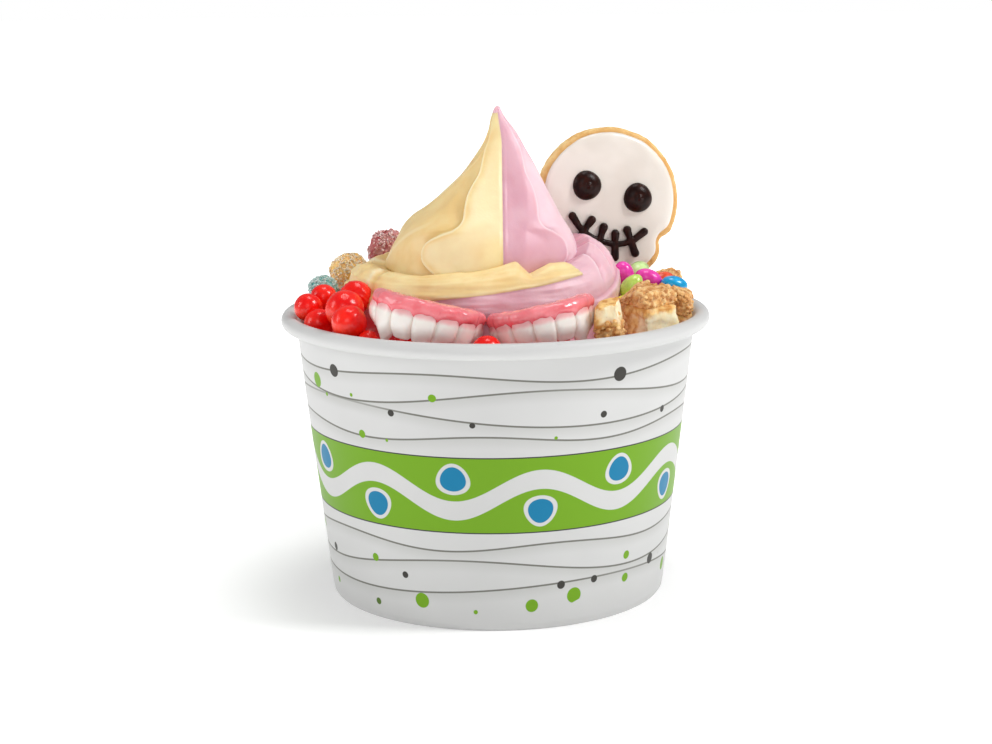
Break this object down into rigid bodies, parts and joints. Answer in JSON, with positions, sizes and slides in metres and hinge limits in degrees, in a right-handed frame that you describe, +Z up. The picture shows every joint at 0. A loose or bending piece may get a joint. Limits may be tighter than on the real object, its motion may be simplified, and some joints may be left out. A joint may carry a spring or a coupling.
{
  "type": "frozen yogurt cup",
  "caption": "Rolled-rim paper cup heaped with two-flavour soft serve and topped with a skull cookie, gummy dentures, jelly balls, sour gummies, candies and cake bites.",
  "frame": {"origin": "centre of the cup's foot, on the table", "axes": "+Z up; -Y is the front, where the dentures are; +X is the side of the candies and cake bites"},
  "size_m": [0.096, 0.096, 0.1086],
  "materials": {
    "cup_paper": "white coated board, satin, printed with green, blue and grey shapes",
    "yogurt_pink": "smooth pink soft serve, faintly wet",
    "yogurt_yellow": "smooth pale yellow soft serve, faintly wet",
    "biscuit": "baked sugar cookie, golden and fine grained",
    "icing": "set white icing, satin",
    "chocolate": "dark chocolate, glossy",
    "gummy_gum": "pink gummy, glossy and a little clear",
    "gummy_teeth": "white gummy, waxy",
    "jelly_red": "red juice ball, wet gloss",
    "gummy_teal": "teal gummy in sour sugar",
    "gummy_orange": "orange gummy in sour sugar",
    "gummy_cherry": "dark red gummy in sour sugar",
    "gummy_lime": "green gummy in sour sugar",
    "gummy_lemon": "yellow gummy in sour sugar",
    "gummy_rose": "pink gummy in sour sugar",
    "candy_magenta": "magenta sugar shell, glossy",
    "candy_green": "lime green sugar shell, glossy",
    "candy_pale_green": "pale green sugar shell, glossy",
    "candy_orange": "red orange sugar shell, glossy",
    "candy_blue": "blue sugar shell, glossy",
    "candy_yellow": "yellow sugar shell, glossy",
    "cake_cream": "baked cream cake, moist",
    "cake_crumb": "brown crumb, rough"
  },
  "bodies": {
    "root": {"cup_wall": "cup_paper", "cup_bottom": "cup_paper", "yogurt_pink": "yogurt_pink", "yogurt_yellow": "yogurt_yellow", "cookie": "biscuit", "cookie_icing": "icing", "cookie_eye_1": "chocolate", "cookie_eye_2": "chocolate", "cookie_mouth": "chocolate", "gum_left": "gummy_gum", "gum_right": "gummy_gum", "teeth_left": "gummy_teeth", "teeth_right": "gummy_teeth", "jelly_ball_1": "jelly_red", "jelly_ball_2": "jelly_red", "jelly_ball_3": "jelly_red", "jelly_ball_4": "jelly_red", "jelly_ball_5": "jelly_red", "jelly_ball_6": "jelly_red", "jelly_ball_7": "jelly_red", "jelly_ball_8": "jelly_red", "jelly_ball_9": "jelly_red", "jelly_ball_10": "jelly_red", "jelly_ball_11": "jelly_red", "jelly_ball_12": "jelly_red", "jelly_ball_13": "jelly_red", "jelly_ball_14": "jelly_red", "jelly_ball_15": "jelly_red", "sugared_gummy_teal": "gummy_teal", "sugared_gummy_orange": "gummy_orange", "sugared_gummy_cherry": "gummy_cherry", "sugared_gummy_lime": "gummy_lime", "sugared_gummy_lemon": "gummy_lemon", "sugared_gummy_rose": "gummy_rose", "candy_magenta_1": "candy_magenta", "candy_magenta_2": "candy_magenta", "candy_green_1": "candy_green", "candy_green_2": "candy_green", "candy_pale_green": "candy_pale_green", "candy_orange_1": "candy_orange", "candy_orange_2": "candy_orange", "candy_blue_1": "candy_blue", "candy_blue_2": "candy_blue", "candy_yellow_1": "candy_yellow", "candy_yellow_2": "candy_yellow", "cake_cream_1": "cake_cream", "cake_cream_2": "cake_cream", "cake_cream_3": "cake_cream", "cake_cream_4": "cake_cream", "cake_cream_5": "cake_cream", "cake_cream_6": "cake_cream", "cake_crumb_1": "cake_crumb", "cake_crumb_2": "cake_crumb", "cake_crumb_3": "cake_crumb", "cake_crumb_4": "cake_crumb", "cake_crumb_5": "cake_crumb", "cake_crumb_6": "cake_crumb"}
  },
  "joints": []
}
